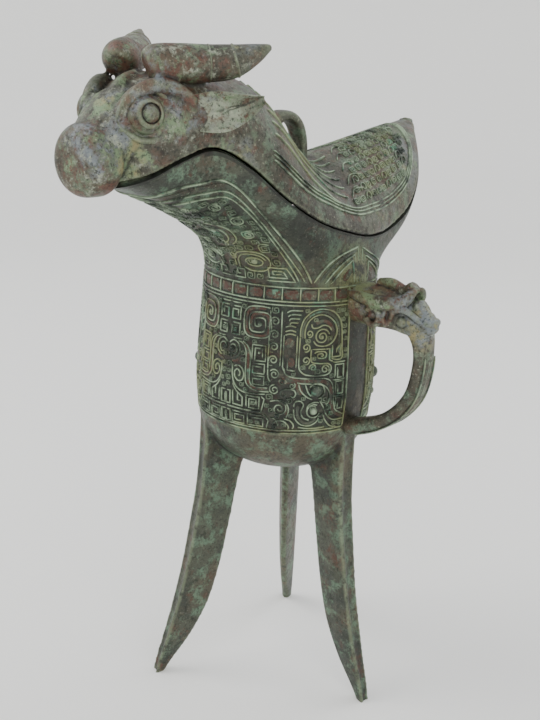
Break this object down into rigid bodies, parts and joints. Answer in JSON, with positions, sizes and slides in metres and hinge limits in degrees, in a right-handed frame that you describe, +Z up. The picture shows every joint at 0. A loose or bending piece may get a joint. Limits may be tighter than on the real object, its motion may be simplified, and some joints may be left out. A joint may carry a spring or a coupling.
{
  "type": "lidded tripod wine vessel",
  "caption": "Archaic bronze tripod wine cup with blade legs, a masked belly, a strap handle and a loose lid with a horned animal head at the spout.",
  "frame": {"origin": "middle of the object's bounding box, on the ground between the feet", "axes": "+Z up, -Y toward the spout and the animal head, +Y toward the tail, +X toward the handle"},
  "size_m": [0.1094, 0.1978, 0.2747],
  "materials": {
    "vessel_bronze": "satin",
    "lid_bronze": "satin"
  },
  "bodies": {
    "root": {"vessel": "vessel_bronze", "lid": "lid_bronze"}
  },
  "joints": []
}
